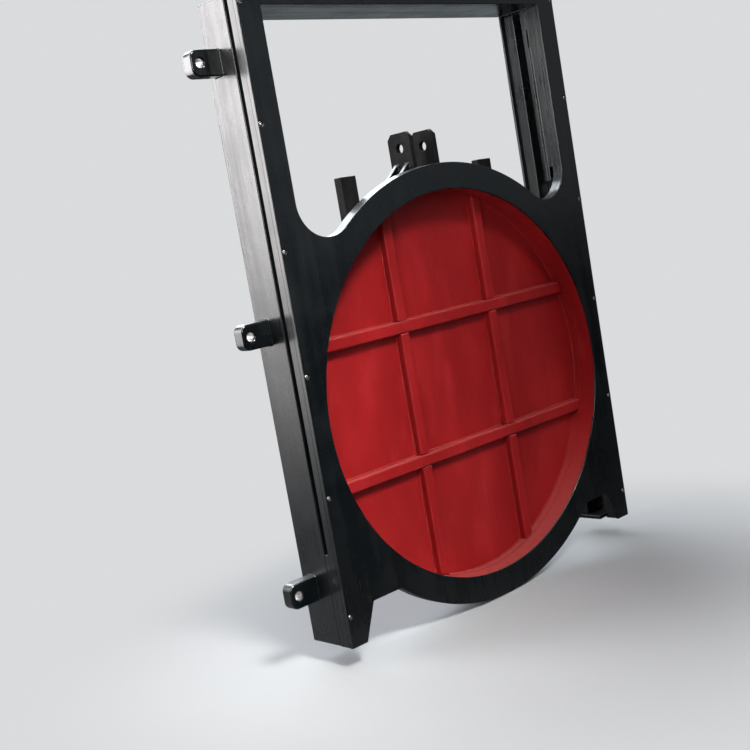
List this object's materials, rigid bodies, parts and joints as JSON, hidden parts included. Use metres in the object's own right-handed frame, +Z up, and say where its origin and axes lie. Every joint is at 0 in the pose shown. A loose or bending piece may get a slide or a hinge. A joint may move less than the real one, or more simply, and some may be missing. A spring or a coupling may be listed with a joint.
{
  "type": "round-opening wall-mounted sluice gate",
  "caption": "Sluice gate: a black steel frame with a round water opening and side guides, and a red ribbed leaf that lifts in them.",
  "frame": {"origin": "on the flat face of the face plate, at mid width, level with the soles of the feet", "axes": "+Z up along the posts, +Y from the flat face to the back of the guides, +X to the right seen from the flat face"},
  "size_m": [1.264, 0.147, 1.562],
  "materials": {
    "black_paint": "glossy black enamel over rolled steel",
    "red_paint": "satin red primer enamel",
    "rubber": "matt"
  },
  "bodies": {
    "frame": {"face_plate": "black_paint", "opening_tube": "red_paint", "arch_flange": "black_paint", "lower_flange": "black_paint", "left_edge_strip": "black_paint", "right_edge_strip": "black_paint", "left_inner_wall": "black_paint", "right_inner_wall": "black_paint", "left_packing_bar": "black_paint", "right_packing_bar": "black_paint", "left_guide_channel": "black_paint", "right_guide_channel": "black_paint", "left_front_guide": "black_paint", "right_front_guide": "black_paint", "left_rear_guide": "black_paint", "right_rear_guide": "black_paint", "left_foot_filler": "black_paint", "right_foot_filler": "black_paint", "left_foot_sole": "black_paint", "right_foot_sole": "black_paint", "top_beam": "black_paint", "left_top_lug": "black_paint", "left_middle_lug": "black_paint", "left_bottom_lug": "black_paint", "right_top_lug": "black_paint", "right_middle_lug": "black_paint", "right_bottom_lug": "black_paint", "left_leaf_stop": "black_paint", "right_leaf_stop": "black_paint", "tube_seal": "rubber"},
    "leaf": {"leaf_skin": "red_paint", "leaf_rim": "red_paint", "upper_level_rib": "red_paint", "lower_level_rib": "red_paint", "left_upright_rib": "red_paint", "right_upright_rib": "red_paint", "left_cheek": "red_paint", "right_cheek": "red_paint", "lifting_foot": "black_paint", "lifting_pad": "black_paint", "left_ear": "black_paint", "right_ear": "black_paint", "ear_gussets": "black_paint", "left_shoulder_block": "black_paint", "right_shoulder_block": "black_paint"}
  },
  "joints": [
    {"name": "leaf_lift", "type": "slide", "parent": "frame", "child": "leaf", "axis": [0, 0, 1], "range_m": [0, 0.28]}
  ]
}
